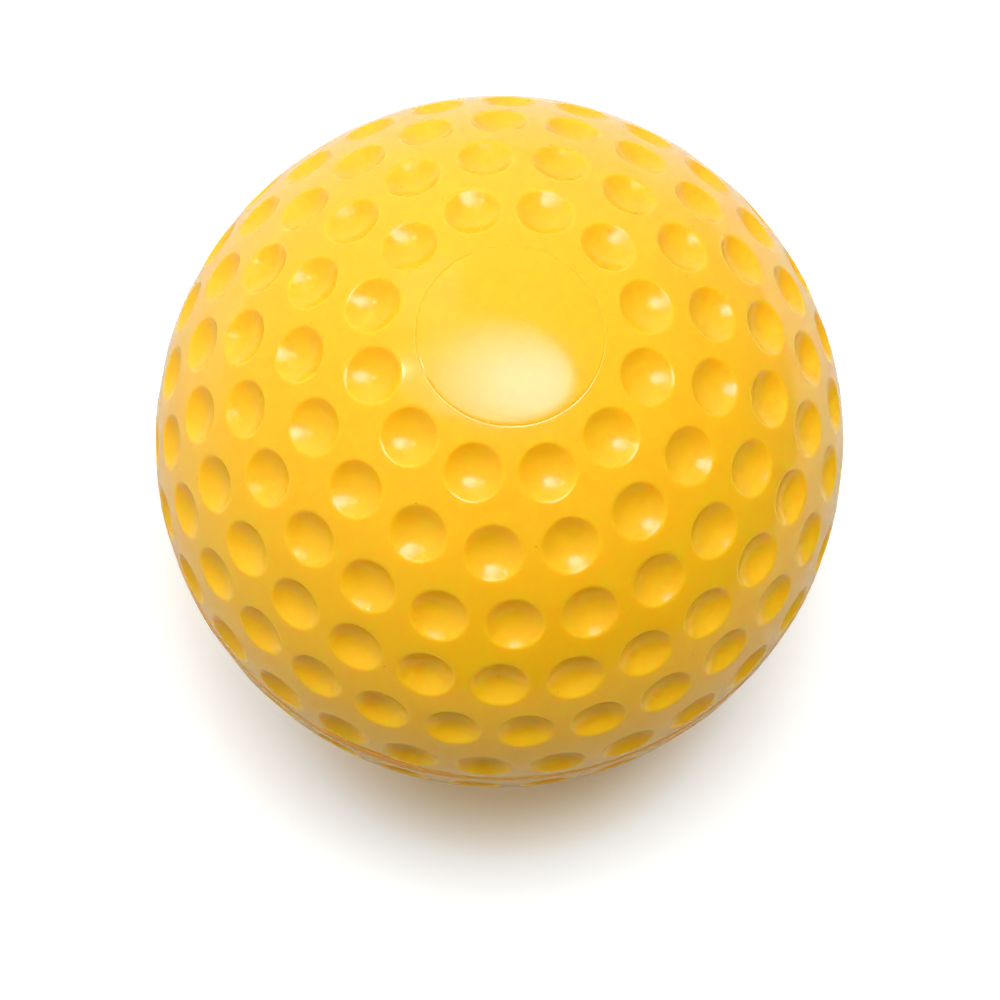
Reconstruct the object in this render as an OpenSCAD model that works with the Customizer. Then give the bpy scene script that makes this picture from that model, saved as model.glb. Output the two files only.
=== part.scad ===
// Hurling ball of moulded polyurethane, made as two dimpled half covers that are welded
// at the equator round a foam core. A smooth plug closes the port at each pole.
// The joint plane lies on Z = 0, the centre of the ball is the origin and the poles are on Z.
// Each half cover is a true dome on a short straight skirt, which ends at the weld bead.

/* [Ball] */
// Diameter of the ball across the seam
ball_d = 70; // [62:0.5:80]
// Thickness of the cover at the seam
cover_t = 4; // [3.2:0.1:6]

/* [Dimples] */
// Diameter of a dimple at its rim
dimple_d = 5.5; // [4:0.1:6.3]
// Depth of a dimple below the ball's surface
dimple_depth = 1.25; // [0.6:0.05:1.7]
// Distance from one ring of dimples to the next, along the surface
ring_pitch = 7.35; // [6.6:0.05:9]
// Distance from one dimple to the next in a ring, along the ring
dimple_pitch = 7.2; // [6.8:0.1:9]
// Smooth land between a plug's seat and the first ring of dimples
pole_land = 1.95; // [0.6:0.05:4]
// Smooth land between the last ring of dimples and the skirt
seam_land = 1.05; // [0.5:0.05:3]

/* [Seam] */
// Height of the weld bead between the two halves
bead_h = 1; // [0.5:0.1:1.6]
// Height of the straight skirt between a half's dome and the bead
skirt_h = 0.5; // [0.2:0.1:1]
// Depth of the weld bead in the cover
bead_depth = 1.2; // [0.6:0.1:1.5]
// Rise of the bead's rounded crown above the cover
bead_crown = 0.12; // [0.05:0.01:0.2]
// Thickness of the tongue that keeps the halves in line
tongue_t = 1.2; // [0.8:0.1:1.5]
// Length of the tongue below the joint plane
tongue_l = 1.5; // [0.8:0.1:2.5]
// Turn of the lower half against the upper one, in degrees clockwise from above
lower_turn = 1.2; // [0:0.1:6]

/* [Plugs] */
// Diameter of a plug's face
plug_d = 17.4; // [14:0.1:22]
// Thickness of a plug's head at its middle
plug_t = 2.6; // [2.2:0.1:3.2]
// Chamfer round a plug's face
plug_chamfer = 0.3; // [0.1:0.05:0.5]
// Diameter of the port that a plug's boss fills
port_d = 10; // [6:0.1:12]
// Length of the boss that anchors a plug in the core
anchor_l = 1.2; // [0.5:0.1:3]

/* [Fits] */
// Gap all round the tongue, a plug's head and a plug's boss
fit_gap = 0.1; // [0.05:0.01:0.2]
// Gap for the bond between the core and what surrounds it
bond_gap = 0.05; // [0.02:0.01:0.1]

/* [Hidden] */
$fn = 72;
// Excess of a cutting shape past the face that it opens
cut_over = 1;

ball_r = ball_d / 2;
cavity_r = ball_r - cover_t;
// Heights above the joint plane of the bead's edge and of the dome's centre
seam_z = bead_h / 2;
half_rise = seam_z + skirt_h;

function arc_angle(length) = length / ball_r * 180 / PI;
function dome_z(radius) = half_rise + sqrt(ball_r ^ 2 - radius ^ 2);

// Plugs and their seats
plug_r = plug_d / 2;
seat_r = plug_r + fit_gap;
seat_z = half_rise + ball_r - plug_t;
port_r = port_d / 2;
boss_r = port_r - fit_gap;
boss_end_z = cavity_r - anchor_l;

// Tongue and groove, in the middle of the joint face
tongue_r = (cavity_r + ball_r - bead_depth) / 2;

// A dimple is a spherical bowl through its rim and its lowest point
dimple_r = dimple_d / 2;
dimple_angle = asin(dimple_r / ball_r);
bowl_depth = dimple_depth - (ball_r - sqrt(ball_r ^ 2 - dimple_r ^ 2));
bowl_r = (dimple_r ^ 2 + bowl_depth ^ 2) / (2 * bowl_depth);

// Rings keep one pitch from the pole on, and the last ring is set off from the seam
first_ring = asin(seat_r / ball_r) + arc_angle(pole_land) + dimple_angle;
last_ring = 90 - arc_angle(seam_land) - dimple_angle;
ring_step = arc_angle(ring_pitch);
inner_rings = floor((last_ring - first_ring) / ring_step);
ring_angles = concat([for (i = [0 : inner_rings - 1]) first_ring + i * ring_step], [last_ring]);

function dimple_count(ring_angle) = round(360 * sin(ring_angle) / arc_angle(dimple_pitch));

cover_yellow = [1.0, 0.78, 0.13];
bead_yellow = [0.93, 0.66, 0.09];
plug_yellow = [1.0, 0.83, 0.22];
core_cream = [0.90, 0.84, 0.66];

// Bowls of one half's dimples, every ring starting on the same meridian, over +Y
module dimple_bowls() {
    for (ring_angle = ring_angles) {
        count = dimple_count(ring_angle);
        for (i = [0 : count - 1])
            translate([0, 0, half_rise])
                rotate([-ring_angle, 0, i * 360 / count])
                    translate([0, 0, ball_r - dimple_depth + bowl_r])
                        sphere(bowl_r);
    }
}

// Section of a plain half cover: dome and skirt, with the cavity, the plug's seat and the port
module half_section() {
    difference() {
        union() {
            translate([0, half_rise])
                intersection() {
                    circle(ball_r);
                    square(ball_r);
                }
            translate([0, seam_z])
                square([ball_r, skirt_h]);
            square([ball_r - bead_depth, seam_z]);
        }
        circle(cavity_r);
        translate([0, seat_z])
            square([seat_r, plug_t + cut_over]);
        translate([0, boss_end_z])
            square([port_r, seat_z - boss_end_z + cut_over]);
    }
}

// Section of the tongue, or of its groove with a gap all round
module tongue_section(gap) {
    translate([tongue_r - tongue_t / 2 - gap, -tongue_l - gap])
        square([tongue_t + 2 * gap, tongue_l + gap + half_rise]);
}

// The tongue runs on past the joint plane, into the skirt
module upper_cover() {
    color(cover_yellow)
        difference() {
            rotate_extrude() {
                half_section();
                tongue_section(0);
            }
            dimple_bowls();
        }
}

// The lower half is the upper one turned over, with a groove for the tongue
module lower_cover() {
    color(cover_yellow)
        mirror([0, 0, 1])
            rotate([0, 0, -lower_turn])
                difference() {
                    rotate_extrude()
                        difference() {
                            half_section();
                            mirror([0, 1])
                                tongue_section(fit_gap);
                        }
                    dimple_bowls();
                }
}

// Bead of weld that fills the groove between the halves, with a slightly proud rounded crown
module seam_bead() {
    crown_r = (seam_z ^ 2 + bead_crown ^ 2) / (2 * bead_crown);
    color(bead_yellow)
        rotate_extrude() {
            translate([ball_r - bead_depth, -seam_z])
                square([bead_depth, bead_h]);
            intersection() {
                translate([ball_r + bead_crown - crown_r, 0])
                    circle(crown_r);
                translate([ball_r, -seam_z])
                    square([bead_crown + cut_over, bead_h]);
            }
        }
}

// Plug with a domed head flush with the ball and a boss through the port into the core
module plug() {
    edge_z = dome_z(plug_r) - plug_chamfer;
    color(plug_yellow)
        rotate_extrude()
            intersection() {
                translate([0, half_rise])
                    circle(ball_r);
                polygon([
                    [0, boss_end_z],
                    [boss_r, boss_end_z],
                    [boss_r, seat_z],
                    [plug_r, seat_z],
                    [plug_r, edge_z],
                    [0, edge_z + plug_r]
                ]);
            }
}

module upper_plug() {
    plug();
}

module lower_plug() {
    mirror([0, 0, 1])
        plug();
}

// Foam core, moulded round the bosses of both plugs
module core() {
    pocket_z = boss_end_z - bond_gap;
    color(core_cream)
        difference() {
            sphere(cavity_r - bond_gap);
            for (side = [0, 1])
                mirror([0, 0, side])
                    translate([0, 0, pocket_z])
                        cylinder(r = boss_r + bond_gap, h = anchor_l + cut_over);
        }
}

upper_cover();
lower_cover();
seam_bead();
upper_plug();
lower_plug();
core();
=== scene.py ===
"""Hurling ball: the looks of its dimpled covers, seam, plugs and core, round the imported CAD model."""
import math

import bpy
from mathutils import Matrix, Vector, noise


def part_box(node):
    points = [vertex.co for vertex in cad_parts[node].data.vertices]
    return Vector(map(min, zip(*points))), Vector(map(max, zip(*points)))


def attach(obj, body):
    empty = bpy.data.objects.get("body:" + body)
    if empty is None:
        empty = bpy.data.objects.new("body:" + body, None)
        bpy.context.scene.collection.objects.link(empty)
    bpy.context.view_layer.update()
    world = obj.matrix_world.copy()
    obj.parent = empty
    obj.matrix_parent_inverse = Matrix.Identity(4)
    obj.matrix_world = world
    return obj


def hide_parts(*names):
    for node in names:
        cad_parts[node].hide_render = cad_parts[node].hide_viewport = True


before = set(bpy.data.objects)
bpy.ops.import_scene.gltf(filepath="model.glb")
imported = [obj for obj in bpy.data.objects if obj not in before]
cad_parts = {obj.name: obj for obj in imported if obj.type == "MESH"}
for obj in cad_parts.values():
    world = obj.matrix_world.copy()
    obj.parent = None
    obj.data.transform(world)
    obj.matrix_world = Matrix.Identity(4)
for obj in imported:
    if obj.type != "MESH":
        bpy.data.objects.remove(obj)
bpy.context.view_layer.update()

MM = 0.001

# Sizes that the frame gives, in millimetres
ball_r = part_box("upper_cover")[1].x / MM
half_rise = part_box("upper_plug")[1].z / MM - ball_r
seam_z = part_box("seam_bead")[1].z / MM
plug_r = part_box("upper_plug")[1].x / MM
boss_end_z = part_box("upper_plug")[0].z / MM
tongue_l = -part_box("upper_cover")[0].z / MM
bead_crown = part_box("seam_bead")[1].x / MM - ball_r
# Height of the floor, in metres
floor_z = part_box("lower_plug")[0].z

# Sizes of the cover's section, in millimetres, as in the solids
cover_t = 4.0
plug_t = 2.6
port_r = 5.0
fit_gap = 0.1
bead_depth = 1.2
tongue_t = 1.2
cavity_r = ball_r - cover_t
seat_r = plug_r + fit_gap
seat_z = half_rise + ball_r - plug_t
tongue_r = (cavity_r + ball_r - bead_depth) / 2

# Sizes of the dimples, in millimetres, and the turn of the lower half, in degrees
dimple_r = 2.75
dimple_depth = 1.25
ring_pitch = 7.35
dimple_pitch = 7.2
pole_land = 1.95
seam_land = 1.05
lower_turn = -1.2

# Rolled edges that a mould leaves, in millimetres
rim_roll = 0.5
seat_roll = 0.04
seam_roll = 0.1
plug_roll = 0.3
plug_drop = 0.02
closed_gap = 0.005
# Width of the narrow strip of land beside a rolled edge, which keeps the land's shading true
edge_strip = 0.15

# Trim of the bead by hand: lengths of its waves, in millimetres, and shares of the crown that it leaves
trim_wave = 6.0
trim_ripple = 1.5
ripple_share = 0.6
crown_kept = 0.55
crown_swing = 0.6
least_crown = 0.15

# Smear of weld over the upper half: its height, in millimetres, and its stretch round the pole, in degrees
smear_top = 1.2
smear_ragged = 0.3
smear_notches = 0.4
smear_seed = 3.7
smear_start = 252.5
smear_end = 278.0
smear_rise = 4.0
smear_fall = 1.0
smear_taper = 14.0
least_taper = 0.4
# Its thickness for each millimetre of its height, and the height past which it gets no thicker
smear_t = 0.1
smear_thick_at = 0.6

# Spread of light under the skin, and beside plugs and seam, and where the change ends, in millimetres
skin_spread = 2.0
edge_spread = 0.15
edge_fade = 1.4

# Sides of round shapes
TURN_SIDES = 144
BEAD_SIDES = 720
RIM_SIDES = 32
ROLL_STEPS = 4
BOWL_STEPS = 5
FACE_STEPS = 12
CAVITY_STEPS = 24
CROWN_STEPS = 8

# Distance within which points are doubled, in millimetres, and the corner that stays sharp, in degrees
doubled_gap = 0.002
sharp_corner = 40.0


def dome_point(angle):
    """Radius and height of the upper dome's point at an angle from the pole."""
    return (ball_r * math.sin(angle), half_rise + ball_r * math.cos(angle))


def arc_angle(length):
    """Angle at the dome's centre that a length along its surface spans."""
    return length / ball_r


def arc(centre, radius, start, end, steps):
    """Points along a circular arc, in a plane of radius and height."""
    angles = [start + (end - start) * i / steps for i in range(steps + 1)]
    return [(centre[0] + radius * math.cos(a), centre[1] + radius * math.sin(a)) for a in angles]


def clamp(value, least, most):
    return min(max(value, least), most)


def new_object(name, data):
    item = bpy.data.objects.new(name, data)
    bpy.context.scene.collection.objects.link(item)
    return item


def deselect():
    bpy.ops.object.select_all(action="DESELECT")


def make_active(piece):
    deselect()
    piece.select_set(True)
    bpy.context.view_layer.objects.active = piece


# Dimple layout, as angles from the pole
dimple_angle = math.asin(dimple_r / ball_r)
first_ring = math.asin(seat_r / ball_r) + arc_angle(pole_land) + dimple_angle
last_ring = math.pi / 2 - arc_angle(seam_land) - dimple_angle
inner_rings = math.floor((last_ring - first_ring) / arc_angle(ring_pitch))
ring_angles = [first_ring + i * arc_angle(ring_pitch) for i in range(inner_rings)] + [last_ring]
# Edges of the land, which the lining carries on from
seat_edge_angle = math.asin((seat_r + seat_roll) / ball_r)
land_start = seat_edge_angle + arc_angle(edge_strip)
land_end = math.pi / 2 - arc_angle(edge_strip)


def dimple_section():
    """Points of a dimple's section, as radius and height from the dome's centre.

    They run from the strip of land round its rim, down the rolled rim, to the bottom of its bowl.
    """
    bowl_depth = dimple_depth - (ball_r - math.sqrt(ball_r ** 2 - dimple_r ** 2))
    bowl_r = (dimple_r ** 2 + bowl_depth ** 2) / (2 * bowl_depth)
    bowl_z = ball_r - dimple_depth + bowl_r
    roll_z = ((ball_r - rim_roll) ** 2 - (bowl_r + rim_roll) ** 2 + bowl_z ** 2) / (2 * bowl_z)
    roll_x = math.sqrt((ball_r - rim_roll) ** 2 - roll_z ** 2)
    out_angle = math.atan2(roll_z, roll_x)
    in_angle = math.atan2(bowl_z - roll_z, -roll_x)
    roll = arc((roll_x, roll_z), rim_roll, out_angle, in_angle, ROLL_STEPS)
    bowl_start = math.atan2(roll[-1][1] - bowl_z, roll[-1][0])
    bowl = arc((0, bowl_z), bowl_r, bowl_start, -math.pi / 2, BOWL_STEPS)
    strip_x = roll[0][0] + edge_strip
    strip = (strip_x, math.sqrt(ball_r ** 2 - strip_x ** 2))
    return [strip] + roll + bowl[1:]


def flat_radius(angle):
    """Distance from the pole of a point of the dome, once the dome is drawn flat."""
    return 2 * ball_r * math.tan(angle / 2)


def draw_flat(section):
    """Draws one half's rims flat, as circles, and fills the land between them."""
    rim_angle = math.asin(section[0][0] / ball_r)
    deselect()
    bpy.ops.mesh.primitive_circle_add(vertices=TURN_SIDES, radius=flat_radius(land_end))
    piece = bpy.context.object
    bpy.ops.object.mode_set(mode="EDIT")
    bpy.ops.mesh.primitive_circle_add(vertices=TURN_SIDES, radius=flat_radius(land_start))
    for ring_angle in ring_angles:
        near = flat_radius(ring_angle - rim_angle)
        far = flat_radius(ring_angle + rim_angle)
        middle = (near + far) / 2
        count = round(2 * math.pi * math.sin(ring_angle) / arc_angle(dimple_pitch))
        for i in range(count):
            turn = math.pi / 2 + 2 * math.pi * i / count
            bpy.ops.mesh.primitive_circle_add(
                vertices=RIM_SIDES, radius=(far - near) / 2, fill_type="NGON",
                location=(middle * math.cos(turn), middle * math.sin(turn), 0))
    bpy.ops.mesh.select_all(action="SELECT")
    bpy.ops.mesh.fill(use_beauty=True)
    bpy.ops.object.mode_set(mode="OBJECT")
    return piece


def wrap_on_dome(piece):
    """Wraps the flat drawing over the dome, which keeps every circle a circle."""
    for v in piece.data.vertices:
        flat = math.hypot(v.co.x, v.co.y)
        angle = 2 * math.atan(flat / (2 * ball_r))
        out = ball_r * math.sin(angle) / flat
        v.co = Vector((v.co.x * out, v.co.y * out, half_rise + ball_r * math.cos(angle))) * MM


def sink_dimples(piece, section):
    """Insets every dimple's face step by step, down its rolled rim and its bowl."""
    shrink = math.cos(math.pi / RIM_SIDES)
    make_active(piece)
    bpy.ops.object.mode_set(mode="EDIT")
    bpy.ops.mesh.select_all(action="DESELECT")
    bpy.ops.mesh.select_mode(type="FACE")
    bpy.ops.mesh.select_face_by_sides(number=RIM_SIDES, type="EQUAL", extend=False)
    for outer, inner in zip(section[:-2], section[1:-1]):
        bpy.ops.mesh.inset(
            thickness=(outer[0] - inner[0]) * shrink * MM, depth=(inner[1] - outer[1]) * MM,
            use_individual=True, use_even_offset=True)
    bpy.ops.mesh.poke(offset=(section[-1][1] - section[-2][1]) * MM)
    bpy.ops.object.mode_set(mode="OBJECT")


def turned(name, section, sides):
    """A piece of revolution about the pole axis, spun from its section of radius and height."""
    mesh = bpy.data.meshes.new(name)
    points = [(x * MM, 0, z * MM) for x, z in section]
    mesh.from_pydata(points, [(i, i + 1) for i in range(len(points) - 1)], [])
    piece = new_object(name, mesh)
    make_active(piece)
    bpy.ops.object.mode_set(mode="EDIT")
    bpy.ops.mesh.select_all(action="SELECT")
    bpy.ops.mesh.spin(steps=sides, angle=2 * math.pi, center=(0, 0, 0), axis=(0, 0, 1))
    bpy.ops.object.mode_set(mode="OBJECT")
    return piece


def close_up(piece):
    """Merges doubled points, points the faces outwards and smooths all but the sharp corners."""
    make_active(piece)
    bpy.ops.object.mode_set(mode="EDIT")
    bpy.ops.mesh.select_all(action="SELECT")
    bpy.ops.mesh.remove_doubles(threshold=doubled_gap * MM)
    bpy.ops.mesh.normals_make_consistent(inside=False)
    bpy.ops.object.mode_set(mode="OBJECT")
    bpy.ops.object.shade_smooth_by_angle(angle=math.radians(sharp_corner))


def lining_section(tongue):
    """Section of a half cover, apart from its dimpled land.

    It runs from the land at the seam, through skirt, joint and cavity, to the land at the plug's seat.
    """
    seam_edge = arc((ball_r - seam_roll, seam_z + seam_roll), seam_roll, 0, -math.pi / 2, ROLL_STEPS)
    skirt = [dome_point(land_end), dome_point(math.pi / 2)] + seam_edge
    groove = [(ball_r - bead_depth, seam_z), (ball_r - bead_depth, 0)]
    inner = tongue_r - tongue_t / 2
    outer = tongue_r + tongue_t / 2
    height = -tongue_l
    if not tongue:
        inner -= fit_gap
        outer += fit_gap
        height = tongue_l + fit_gap
    key = [(outer, 0), (outer, height), (inner, height), (inner, 0)]
    cavity = arc((0, 0), cavity_r, 0, math.acos(port_r / cavity_r), CAVITY_STEPS)
    seat = [(port_r, seat_z), (seat_r, seat_z)]
    seat_top = dome_point(seat_edge_angle)
    seat_edge = arc((seat_top[0], seat_top[1] - seat_roll), seat_roll, math.pi, math.pi / 2, ROLL_STEPS)
    return skirt + groove + key + cavity + seat + seat_edge + [dome_point(land_start)]


def dimpled_cover(name, tongue):
    """A half cover: its dimpled land and its lining, with a tongue or a groove on the joint face."""
    section = dimple_section()
    piece = draw_flat(section)
    piece.name = name
    wrap_on_dome(piece)
    sink_dimples(piece, section)
    lining = turned("lining", lining_section(tongue), TURN_SIDES)
    make_active(piece)
    lining.select_set(True)
    bpy.ops.object.join()
    close_up(piece)
    return piece


def turn_over(piece, degrees):
    """Turns a piece of the upper half over into its place in the lower half."""
    piece.data.transform(Matrix.Scale(-1, 4, (0, 0, 1)))
    piece.data.transform(Matrix.Rotation(math.radians(degrees), 4, "Z"))
    piece.data.flip_normals()


def pole_plug(name):
    """A plug with a domed face, a boss, and a softly rolled edge that nearly closes the gap to its seat."""
    edge_r = seat_r - closed_gap
    start_r = edge_r - plug_roll
    face = arc((0, half_rise), ball_r, math.pi / 2, math.acos(start_r / ball_r), FACE_STEPS)
    roll = []
    for i in range(1, ROLL_STEPS + 1):
        share = i / ROLL_STEPS
        radius = start_r + plug_roll * share
        roll.append((radius, half_rise + math.sqrt(ball_r ** 2 - radius ** 2) - plug_drop * share ** 2))
    boss_r = port_r - fit_gap
    body = [(edge_r, seat_z), (boss_r, seat_z), (boss_r, boss_end_z), (0, boss_end_z)]
    piece = turned(name, face + roll + body, TURN_SIDES)
    close_up(piece)
    return piece


def smear_height(turn):
    """Height of the smear of weld, in millimetres, at an angle round the pole in degrees."""
    rise = clamp((turn - smear_start) / smear_rise, 0, 1)
    fall = clamp((smear_end - turn) / smear_fall, 0, 1)
    taper = clamp((smear_end + smear_fall - turn) / smear_taper, least_taper, 1)
    ragged = noise.noise(Vector((turn * smear_notches, smear_seed, 0)))
    return rise * fall * taper * (smear_top + smear_ragged * ragged)


def seam_bead(name):
    """The bead of weld in the groove, with a crown that was trimmed by hand and so is uneven."""
    crown_r = (seam_z ** 2 + bead_crown ** 2) / (2 * bead_crown)
    reach = math.asin(seam_z / crown_r)
    crown = arc((ball_r + bead_crown - crown_r, 0), crown_r, -reach, reach, CROWN_STEPS)
    inner = ball_r - bead_depth
    piece = turned(name, crown + [(inner, seam_z), (inner, -seam_z), crown[0]], BEAD_SIDES)
    close_up(piece)
    for v in piece.data.vertices:
        out = math.hypot(v.co.x, v.co.y) / MM
        # Points in the groove stay where they are
        if out < ball_r - bead_depth / 2:
            continue
        turn = math.degrees(math.atan2(v.co.y, v.co.x)) % 360
        around = Vector((v.co.x, v.co.y, 0)) / MM
        trim = noise.noise(around / trim_wave) + ripple_share * noise.noise(around / trim_ripple)
        proud = (out - ball_r) * clamp(crown_kept + crown_swing * trim, least_crown, 1)
        smear = smear_height(turn)
        height = v.co.z / MM
        height += smear * max(height / seam_z, 0)
        over_dome = max(height - half_rise, 0)
        proud += min(smear, smear_thick_at) * smear_t
        new_out = math.sqrt(ball_r ** 2 - over_dome ** 2) + proud
        v.co = Vector((v.co.x * new_out / out, v.co.y * new_out / out, height * MM))
    return piece


# Materials
def srgb(code):
    """Linear colour of an sRGB hex value."""
    parts = [int(code[i:i + 2], 16) / 255 for i in (1, 3, 5)]
    return [p / 12.92 if p <= 0.04045 else ((p + 0.055) / 1.055) ** 2.4 for p in parts] + [1]


def add_node(owner, kind, links, values, **settings):
    """Adds a node with its settings, the outputs linked to its inputs and the values of its other inputs."""
    node = owner.node_tree.nodes.new(kind)
    for key, value in settings.items():
        setattr(node, key, value)
    for key, value in values.items():
        node.inputs[key].default_value = value
    for key, output in links.items():
        owner.node_tree.links.new(output, node.inputs[key])
    return node


# Colour inputs and output of a Mix node that mixes colours
FIRST, SECOND, MIXED = 6, 7, 2


def new_material(name):
    """A new material, its shader and the place on the piece that its patterns read."""
    material = bpy.data.materials.new(name)
    material.use_nodes = True
    place = add_node(material, "ShaderNodeTexCoord", {}, {}).outputs["Object"]
    return material, material.node_tree.nodes["Principled BSDF"], place


def flow_tone(material, place, patch):
    """Deep yellow with faint tones where the polyurethane flowed, in patches of a size in millimetres."""
    flow = add_node(material, "ShaderNodeTexNoise", {"Vector": place},
                    {"Scale": 1 / (patch * MM), "Detail": 2})
    tone = add_node(material, "ShaderNodeMix", {"Factor": flow.outputs["Fac"]},
                    {FIRST: srgb("#FEBB11"), SECOND: srgb("#FFC115")}, data_type="RGBA")
    return tone.outputs[MIXED]


def let_light_in(material, shader, place):
    """Lets light spread a millimetre or two under the skin, red furthest, as solid polyurethane does."""
    shader.inputs["Subsurface Weight"].default_value = 1
    shader.inputs["Subsurface Radius"].default_value = (1, 0.32, 0.07)
    # Less far beside the plugs and the seam, where the next piece would pass the light on
    flat = add_node(material, "ShaderNodeVectorMath", {0: place}, {1: (1, 1, 0)}, operation="MULTIPLY")
    out = add_node(material, "ShaderNodeVectorMath", {0: flat.outputs["Vector"]}, {}, operation="LENGTH")
    past_plug = add_node(material, "ShaderNodeMath", {0: out.outputs["Value"]}, {1: seat_r * MM},
                         operation="SUBTRACT")
    off_plug = add_node(material, "ShaderNodeMath", {0: past_plug.outputs["Value"]}, {},
                        operation="ABSOLUTE")
    height = add_node(material, "ShaderNodeSeparateXYZ", {"Vector": place}, {})
    off_seam = add_node(material, "ShaderNodeMath", {0: height.outputs["Z"]}, {}, operation="ABSOLUTE")
    half_off = add_node(material, "ShaderNodeMath", {0: off_seam.outputs["Value"]}, {1: 0.5},
                        operation="MULTIPLY")
    nearer = add_node(material, "ShaderNodeMath",
                      {0: off_plug.outputs["Value"], 1: half_off.outputs["Value"]}, {}, operation="MINIMUM")
    spread = add_node(material, "ShaderNodeMapRange", {"Value": nearer.outputs["Value"]},
                      {"From Max": edge_fade * MM, "To Min": edge_spread * MM, "To Max": skin_spread * MM})
    material.node_tree.links.new(spread.outputs["Result"], shader.inputs["Subsurface Scale"])


def cover_polyurethane():
    """Polyurethane from a polished mould.

    It is deep yellow and glossy, with faint flow tones, haze from handling and rare dark specks.
    """
    material, shader, place = new_material("gloss_moulded_polyurethane")
    links = material.node_tree.links
    tone = flow_tone(material, place, 14)
    grains = add_node(material, "ShaderNodeTexVoronoi", {"Vector": place}, {"Scale": 1 / (3.5 * MM)})
    speck = add_node(material, "ShaderNodeMapRange", {"Value": grains.outputs["Distance"]},
                     {"From Min": 0.01, "From Max": 0.035, "To Min": 0.6, "To Max": 0})
    colour = add_node(material, "ShaderNodeMix", {"Factor": speck.outputs["Result"], FIRST: tone},
                      {SECOND: srgb("#A8690E")}, data_type="RGBA")
    links.new(colour.outputs[MIXED], shader.inputs["Base Color"])
    haze = add_node(material, "ShaderNodeTexNoise", {"Vector": place},
                    {"Scale": 1 / (5 * MM), "Detail": 5})
    gloss = add_node(material, "ShaderNodeMapRange", {"Value": haze.outputs["Fac"]},
                     {"From Min": 0.3, "From Max": 0.7, "To Min": 0.1, "To Max": 0.16})
    # The pins that mould the bowls are less polished than the mould's face
    side = add_node(material, "ShaderNodeVectorMath", {0: place}, {}, operation="ABSOLUTE")
    arm = add_node(material, "ShaderNodeVectorMath", {0: side.outputs["Vector"]},
                   {1: (0, 0, half_rise * MM)}, operation="DISTANCE")
    bowl_start = (ball_r - 0.02) * MM
    bowl_full = (ball_r - 0.3) * MM
    bowl = add_node(material, "ShaderNodeMapRange", {"Value": arm.outputs["Value"]},
                    {"From Min": bowl_full, "From Max": bowl_start, "To Min": 0.1, "To Max": 0})
    satin = add_node(material, "ShaderNodeMath",
                     {0: gloss.outputs["Result"], 1: bowl.outputs["Result"]}, {})
    links.new(satin.outputs["Value"], shader.inputs["Roughness"])
    skin = add_node(material, "ShaderNodeTexNoise", {"Vector": place},
                    {"Scale": 1 / (1.8 * MM), "Detail": 1})
    peel = add_node(material, "ShaderNodeBump", {"Height": skin.outputs["Fac"]},
                    {"Strength": 0.3, "Distance": 0.01 * MM})
    links.new(peel.outputs["Normal"], shader.inputs["Normal"])
    let_light_in(material, shader, place)
    return material


def plug_polyurethane():
    """The same polyurethane with a smoother skin, marked by fine scratches, pits and dust."""
    material, shader, place = new_material("polished_moulded_polyurethane")
    links = material.node_tree.links
    tone = flow_tone(material, place, 9)
    grains = add_node(material, "ShaderNodeTexVoronoi", {"Vector": place}, {"Scale": 1 / (0.8 * MM)})
    pit = add_node(material, "ShaderNodeMapRange", {"Value": grains.outputs["Distance"]},
                   {"From Min": 0.04, "From Max": 0.1, "To Min": 0.8, "To Max": 0})
    colour = add_node(material, "ShaderNodeMix", {"Factor": pit.outputs["Result"], FIRST: tone},
                      {SECOND: srgb("#D69C14")}, data_type="RGBA")
    links.new(colour.outputs[MIXED], shader.inputs["Base Color"])
    # Scratches run side by side, long and narrow
    along_scale = 1 / (16 * MM)
    across_scale = 1 / (0.25 * MM)
    along = add_node(material, "ShaderNodeMapping", {"Vector": place},
                     {"Rotation": (0, 0, math.radians(-6)),
                      "Scale": (along_scale, across_scale, along_scale)})
    lines = add_node(material, "ShaderNodeTexNoise", {"Vector": along.outputs["Vector"]},
                     {"Scale": 1, "Detail": 1})
    scratch = add_node(material, "ShaderNodeMapRange", {"Value": lines.outputs["Fac"]},
                       {"From Min": 0.68, "From Max": 0.85, "To Max": 0.5})
    smears = add_node(material, "ShaderNodeTexNoise", {"Vector": place},
                      {"Scale": 1 / (3 * MM), "Detail": 6})
    haze = add_node(material, "ShaderNodeMapRange", {"Value": smears.outputs["Fac"]},
                    {"From Min": 0.35, "From Max": 0.7, "To Min": 0.11, "To Max": 0.17})
    scuffed = add_node(material, "ShaderNodeMath",
                       {0: scratch.outputs["Result"], 2: haze.outputs["Result"]}, {1: 0.3},
                       operation="MULTIPLY_ADD")
    gloss = add_node(material, "ShaderNodeMath",
                     {0: pit.outputs["Result"], 2: scuffed.outputs["Value"]}, {1: 0.4},
                     operation="MULTIPLY_ADD")
    links.new(gloss.outputs["Value"], shader.inputs["Roughness"])
    worn = add_node(material, "ShaderNodeMath",
                    {0: scratch.outputs["Result"], 1: pit.outputs["Result"]}, {}, operation="MAXIMUM")
    skin = add_node(material, "ShaderNodeBump", {"Height": worn.outputs["Value"]},
                    {"Strength": 0.5, "Distance": 0.015 * MM}, invert=True)
    links.new(skin.outputs["Normal"], shader.inputs["Normal"])
    let_light_in(material, shader, place)
    return material


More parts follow.
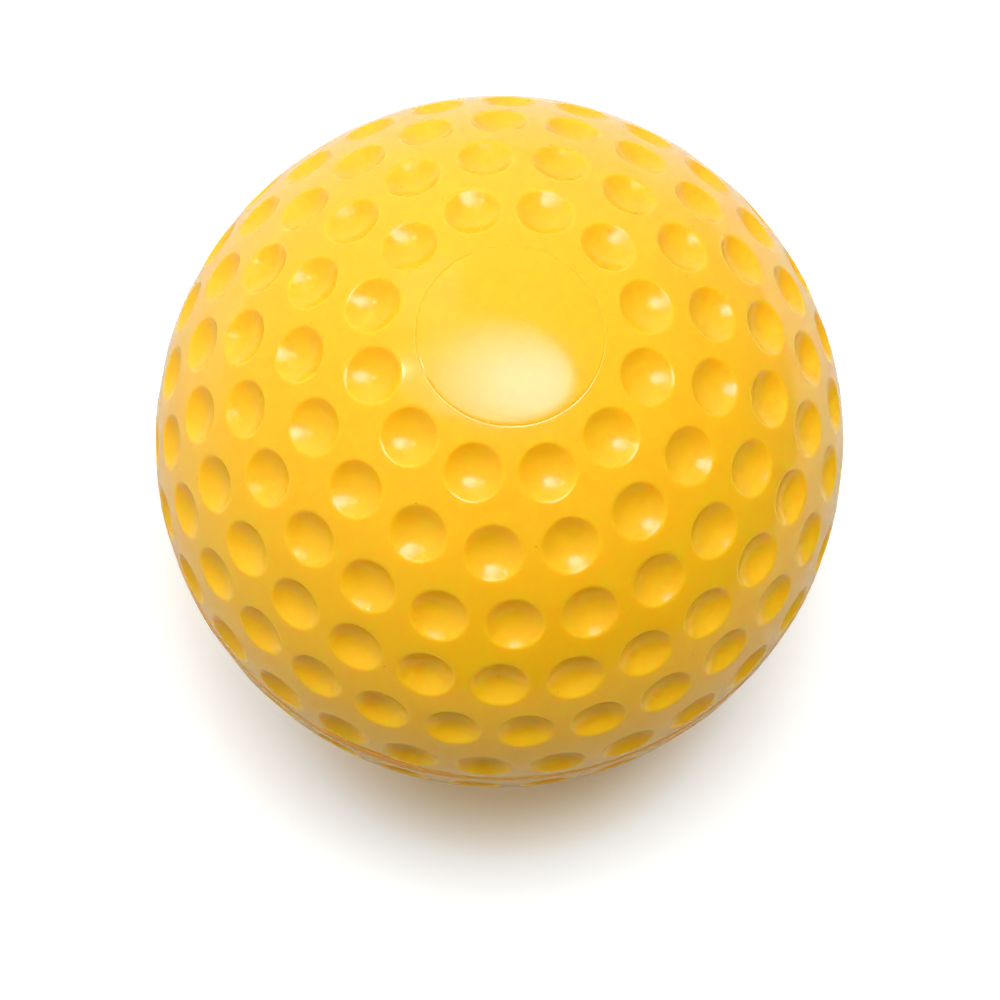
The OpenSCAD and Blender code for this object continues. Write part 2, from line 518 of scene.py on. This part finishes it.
def weld_polyurethane():
    """Polyurethane weld, trimmed with a blade and buffed round the ball.

    It is satin and a little darker than the cover, with fine streaks along the seam.
    """
    material, shader, place = new_material("trimmed_polyurethane_weld")
    links = material.node_tree.links
    along_scale = 1 / (5 * MM)
    across_scale = 1 / (0.15 * MM)
    along = add_node(material, "ShaderNodeMapping", {"Vector": place},
                     {"Scale": (along_scale, along_scale, across_scale)})
    lines = add_node(material, "ShaderNodeTexNoise", {"Vector": along.outputs["Vector"]},
                     {"Scale": 1, "Detail": 4})
    tone = add_node(material, "ShaderNodeMix", {"Factor": lines.outputs["Fac"]},
                    {FIRST: srgb("#F29F10"), SECOND: srgb("#FBB818")}, data_type="RGBA")
    links.new(tone.outputs[MIXED], shader.inputs["Base Color"])
    satin = add_node(material, "ShaderNodeMapRange", {"Value": lines.outputs["Fac"]},
                     {"To Min": 0.45, "To Max": 0.7})
    links.new(satin.outputs["Result"], shader.inputs["Roughness"])
    streaks = add_node(material, "ShaderNodeBump", {"Height": lines.outputs["Fac"]},
                       {"Strength": 0.5, "Distance": 0.02 * MM})
    links.new(streaks.outputs["Normal"], shader.inputs["Normal"])
    return material


def core_foam():
    """Closed-cell polyurethane foam: matt and cream, with a fine cell texture."""
    material, shader, place = new_material("closed_cell_polyurethane_foam")
    links = material.node_tree.links
    cells = add_node(material, "ShaderNodeTexVoronoi", {"Vector": place}, {"Scale": 1 / (0.8 * MM)})
    tone = add_node(material, "ShaderNodeMix", {"Factor": cells.outputs["Distance"]},
                    {FIRST: srgb("#D9C795"), SECOND: srgb("#EADDB4")}, data_type="RGBA")
    links.new(tone.outputs[MIXED], shader.inputs["Base Color"])
    walls = add_node(material, "ShaderNodeBump", {"Height": cells.outputs["Distance"]},
                     {"Strength": 0.6, "Distance": 0.2 * MM})
    links.new(walls.outputs["Normal"], shader.inputs["Normal"])
    shader.inputs["Roughness"].default_value = 0.9
    return material


def put_on(piece, material, node):
    """Gives a piece its material and puts it in the place of its CAD node."""
    piece.data.materials.clear()
    piece.data.materials.append(material)
    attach(piece, "root")
    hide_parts(node)


cover_finish = cover_polyurethane()
plug_finish = plug_polyurethane()

upper = dimpled_cover("dimpled_upper_cover", tongue=True)
lower = dimpled_cover("dimpled_lower_cover", tongue=False)
turn_over(lower, lower_turn)
bead = seam_bead("trimmed_seam_bead")
top_plug = pole_plug("upper_pole_plug")
bottom_plug = pole_plug("lower_pole_plug")
turn_over(bottom_plug, lower_turn)

put_on(upper, cover_finish, "upper_cover")
put_on(lower, cover_finish, "lower_cover")
put_on(bead, weld_polyurethane(), "seam_bead")
put_on(top_plug, plug_finish, "upper_plug")
put_on(bottom_plug, plug_finish, "lower_plug")

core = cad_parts["core"]
core.data.materials.clear()
core.data.materials.append(core_foam())

# View that fits the dimples' rims best, from angles round the ball, off the pole and round the line of sight
view_azimuth = math.radians(9.06)
view_tilt = math.radians(16.76)
view_roll = math.radians(5.89)
view_distance = 10 * ball_r * MM
# Middle and radius of the upper dome in the picture, and the picture's side, in pixels
ball_px = (499.5, 440.0)
ball_radius_px = 344.0
frame_px = 1000
# Directions as that view has them
to_right = Vector((math.cos(view_azimuth), math.sin(view_azimuth), 0))
to_front = Vector((math.sin(view_azimuth), -math.cos(view_azimuth), 0))
to_top = Vector((0, 0, 1))

# Floor, in metres to the right and to the front of the pole axis
floor_corners = [(-0.25, 0.2), (0.17, 0.2), (0.17, -3), (-0.25, -3)]
# Middle of the ball's shade, partly rendered and partly painted by less glow near it, and the distances from
# it at which the painted shade is deepest and gone
shade_middle = (0.004, 0.024)
shade_deepest = 0.01
shade_gone = 0.25
# Middle of the painted warm light that the ball's yellow throws on the paper under it, and the distances
# from it at which that painted light is full and gone
painted_bounce_middle = (0.0025, 0.01)
painted_bounce_full = 0.0195
painted_bounce_gone = 0.0272
# Half the width of the band, across the ball, in which the floor's light falls off
falloff_half = 0.08
# Shares of light that the paper gives back: behind the ball, and to its skin, and in front of it
back_share = 0.62
front_share = 0.28


def shown_white(owner, behind):
    """1 for what the camera sees, straight or through glass, and in a gloss for what is behind the ball."""
    path = add_node(owner, "ShaderNodeLightPath", {}, {})
    clear = add_node(owner, "ShaderNodeMath",
                     {0: path.outputs["Is Camera Ray"], 1: path.outputs["Is Transmission Ray"]}, {},
                     operation="MAXIMUM")
    gloss = add_node(owner, "ShaderNodeMath", {0: path.outputs["Is Glossy Ray"], 1: behind}, {},
                     operation="MULTIPLY")
    either = add_node(owner, "ShaderNodeMath", {0: clear.outputs["Value"], 1: gloss.outputs["Value"]},
                      {}, operation="MAXIMUM")
    return either.outputs["Value"]


def floor_point(right_off, front_off):
    return to_right * right_off + to_front * front_off + to_top * floor_z


def floor_paper():
    """White paper: matt, in the ball's shade, partly painted, with painted warm light from the ball's yellow
    close to it, and white further off.

    As light, it gives back less in front of the ball than behind it.
    """
    material, shader, place = new_material("white_paper_floor")
    links = material.node_tree.links
    shader.inputs["Roughness"].default_value = 0.9
    shader.inputs["Specular IOR Level"].default_value = 0
    # The paper glows white away from the ball and hardly at all close to it, which paints shade round its
    # foot on top of the rendered shade
    shader.inputs["Emission Color"].default_value = srgb("#FFFFFF")
    off_shade = add_node(material, "ShaderNodeVectorMath", {0: place}, {1: floor_point(*shade_middle)},
                         operation="DISTANCE")
    painted_shade_glow = add_node(material, "ShaderNodeMapRange", {"Value": off_shade.outputs["Value"]},
                    {"From Min": shade_deepest, "From Max": shade_gone, "To Min": 0.02, "To Max": 1})
    links.new(painted_shade_glow.outputs["Result"], shader.inputs["Emission Strength"])
    # Painted warm light: the paper close to the ball takes the colour of the yellow light that the ball
    # would throw on it
    off_painted_bounce = add_node(material, "ShaderNodeVectorMath", {0: place}, {1: floor_point(*painted_bounce_middle)},
                        operation="DISTANCE")
    past_painted_bounce = add_node(material, "ShaderNodeMapRange", {"Value": off_painted_bounce.outputs["Value"]},
                     {"From Min": painted_bounce_full, "From Max": painted_bounce_gone})
    painted_bounce_colour = add_node(material, "ShaderNodeMix", {"Factor": past_painted_bounce.outputs["Result"]},
                    {FIRST: srgb("#EADBB8"), SECOND: srgb("#F4F9FC")}, data_type="RGBA")
    links.new(painted_bounce_colour.outputs[MIXED], shader.inputs["Base Color"])
    ahead = add_node(material, "ShaderNodeVectorMath", {0: place}, {1: to_front}, operation="DOT_PRODUCT")
    behind = add_node(material, "ShaderNodeMapRange", {"Value": ahead.outputs["Value"]},
                      {"From Min": -falloff_half, "From Max": falloff_half, "To Min": 0.2, "To Max": 0})
    paleness = add_node(material, "ShaderNodeMapRange", {"Value": ahead.outputs["Value"]},
                        {"From Min": -falloff_half, "From Max": falloff_half,
                         "To Min": back_share, "To Max": front_share})
    path = add_node(material, "ShaderNodeLightPath", {}, {})
    bounce = add_node(material, "ShaderNodeMath", {0: path.outputs["Is Diffuse Ray"]}, {1: back_share},
                      operation="MULTIPLY")
    paler = add_node(material, "ShaderNodeMath",
                     {0: paleness.outputs["Result"], 1: bounce.outputs["Value"]}, {}, operation="MAXIMUM")
    dull = add_node(material, "ShaderNodeBsdfDiffuse", {"Color": paler.outputs["Value"]}, {})
    white = shown_white(material, behind.outputs["Result"])
    seen = add_node(material, "ShaderNodeMixShader",
                    {0: white, 1: dull.outputs["BSDF"], 2: shader.outputs["BSDF"]}, {})
    links.new(seen.outputs["Shader"], material.node_tree.nodes["Material Output"].inputs["Surface"])
    return material


floor_mesh = bpy.data.meshes.new("paper_floor")
floor_mesh.from_pydata([floor_point(*corner) for corner in floor_corners], [], [(0, 1, 2, 3)])
floor = new_object("paper_floor", floor_mesh)
floor_mesh.materials.append(floor_paper())


def light_room():
    """A room that is white where the camera sees it.

    As light, it is white behind the ball, dimmer overhead and on the left, and dark on the camera's side.
    """
    world = bpy.data.worlds.new("studio")
    bpy.context.scene.world = world
    world.use_nodes = True
    links = world.node_tree.links
    room = world.node_tree.nodes["Background"]
    room.inputs["Color"].default_value = srgb("#FFFFFF")
    bright_side = (to_front * -0.99 + to_right * -0.14).normalized()
    sight = add_node(world, "ShaderNodeTexCoord", {}, {}).outputs["Generated"]
    share = add_node(world, "ShaderNodeVectorMath", {0: sight}, {1: bright_side}, operation="DOT_PRODUCT")
    rising = add_node(world, "ShaderNodeMapRange", {"Value": share.outputs["Value"]}, {"From Min": -1})
    wall = add_node(world, "ShaderNodeMath", {0: rising.outputs["Result"]}, {1: 3}, operation="POWER")
    height = add_node(world, "ShaderNodeSeparateXYZ", {"Vector": sight}, {})
    overhead = add_node(world, "ShaderNodeMapRange", {"Value": height.outputs["Z"]}, {})
    ceiling = add_node(world, "ShaderNodeMath", {0: overhead.outputs["Result"]}, {1: 2}, operation="POWER")
    rightward = add_node(world, "ShaderNodeVectorMath", {0: sight}, {1: to_right}, operation="DOT_PRODUCT")
    left_wall = add_node(world, "ShaderNodeMapRange", {"Value": rightward.outputs["Value"]},
                         {"From Min": -1, "From Max": 0, "To Min": 0.38, "To Max": 0.05})
    lit_wall = add_node(world, "ShaderNodeMath",
                        {0: wall.outputs["Value"], 2: left_wall.outputs["Result"]}, {1: 0.9},
                        operation="MULTIPLY_ADD")
    level = add_node(world, "ShaderNodeMath",
                     {0: ceiling.outputs["Value"], 2: lit_wall.outputs["Value"]}, {1: 0.35},
                     operation="MULTIPLY_ADD")
    links.new(level.outputs["Value"], room.inputs["Strength"])
    backdrop = add_node(world, "ShaderNodeBackground", {}, {"Color": srgb("#FFFFFF"), "Strength": 1})
    behind = add_node(world, "ShaderNodeMapRange", {"Value": wall.outputs["Value"]}, {"From Min": 0.6})
    white = shown_white(world, behind.outputs["Result"])
    seen = add_node(world, "ShaderNodeMixShader",
                    {0: white, 1: room.outputs["Background"], 2: backdrop.outputs["Background"]}, {})
    links.new(seen.outputs["Shader"], world.node_tree.nodes["World Output"].inputs["Surface"])


light_room()


def set_up(item, place, across, rise, back):
    """Puts a lamp or the camera in its place, with its own three axes along the given directions."""
    turn = Matrix((across, rise, back)).transposed().to_4x4()
    item.matrix_world = Matrix.Translation(place) @ turn


def add_lamp(name, right_off, front_off, width, depth, level):
    """Hangs an oval lamp one metre from the ball, facing it.

    Its offsets and sizes are in metres, and at a level of 1 it is as bright as white paper.
    """
    data = bpy.data.lights.new(name, "AREA")
    data.shape = "ELLIPSE"
    data.size = width
    data.size_y = depth
    data.energy = level * math.pi * math.pi / 4 * width * depth
    lamp = new_object(name, data)
    away = to_right * right_off + to_front * front_off
    away += to_top * math.sqrt(1 - away.length_squared)
    across = (to_right - away * to_right.dot(away)).normalized()
    set_up(lamp, away, across, away.cross(across), away)
    return lamp


def add_softbox(name, level):
    """A softbox whose hottest place is right of its middle, with light that falls off all round it."""
    lamp = add_lamp(name, right_off=-0.1, front_off=-0.08, width=0.97, depth=0.58, level=level)
    data = lamp.data
    data.use_nodes = True
    face = add_node(data, "ShaderNodeNewGeometry", {}, {}).outputs["Parametric"]
    offset = add_node(data, "ShaderNodeVectorMath", {0: face}, {1: (0.77, 0.4, 0)}, operation="SUBTRACT")
    spread = add_node(data, "ShaderNodeVectorMath", {0: offset.outputs["Vector"]}, {1: (1.56, 1.53, 0)},
                      operation="MULTIPLY")
    reach = add_node(data, "ShaderNodeVectorMath", {0: spread.outputs["Vector"]}, {}, operation="LENGTH")
    falloff = add_node(data, "ShaderNodeMapRange", {"Value": reach.outputs["Value"]},
                       {"From Min": 0.25, "From Max": 1, "To Min": 1, "To Max": 0.12})
    emission = data.node_tree.nodes["Emission"]
    data.node_tree.links.new(falloff.outputs["Result"], emission.inputs["Strength"])
    return lamp


# The softbox's light, and its reflection, which hangs a little nearer and has less green
softbox = add_softbox("overhead_softbox", level=11.6)
softbox.visible_glossy = False
reflection = add_softbox("overhead_softbox_reflection", level=9.8)
reflection.location *= 0.98
reflection.visible_diffuse = False
reflection.data.color = (1, 0.72, 1)
panel = add_lamp("dim_side_panel", right_off=-0.42, front_off=-0.49, width=0.32, depth=0.42, level=0.9)
panel.data.shape = "RECTANGLE"
panel.visible_diffuse = False
# Wide fill lights that leave no reflection, and a small bulb that shows only as one
left_fill = add_lamp("left_fill", right_off=-0.88, front_off=0.08, width=0.5, depth=0.5, level=2.4)
right_fill = add_lamp("right_fill", right_off=0.93, front_off=0.25, width=0.5, depth=0.5, level=2.1)
for fill in (left_fill, right_fill):
    fill.visible_glossy = False
bulb = add_lamp("small_side_bulb", right_off=-0.547, front_off=-0.058, width=0.03, depth=0.03, level=220.0)
bulb.visible_diffuse = False


def place_camera():
    """Puts the camera at the view, aimed so that the upper dome is at its place in the picture."""
    to_camera = to_front * math.sin(view_tilt) + to_top * math.cos(view_tilt)
    level_up = to_camera.cross(to_right)
    side = to_right * math.cos(view_roll) + level_up * math.sin(view_roll)
    rise = level_up * math.cos(view_roll) - to_right * math.sin(view_roll)
    focal_px = ball_radius_px * math.sqrt((view_distance / (ball_r * MM)) ** 2 - 1)
    aim = to_camera * focal_px + side * (ball_px[0] - frame_px / 2) - rise * (ball_px[1] - frame_px / 2)
    aim.normalize()
    side = rise.cross(aim).normalized()
    rise = aim.cross(side)
    data = bpy.data.cameras.new("camera")
    data.sensor_width = 36
    data.lens = focal_px / frame_px * data.sensor_width
    camera = new_object("camera", data)
    set_up(camera, to_top * half_rise * MM + to_camera * view_distance, side, rise, aim)
    bpy.context.scene.camera = camera


place_camera()
bpy.context.scene.view_settings.view_transform = "Standard"
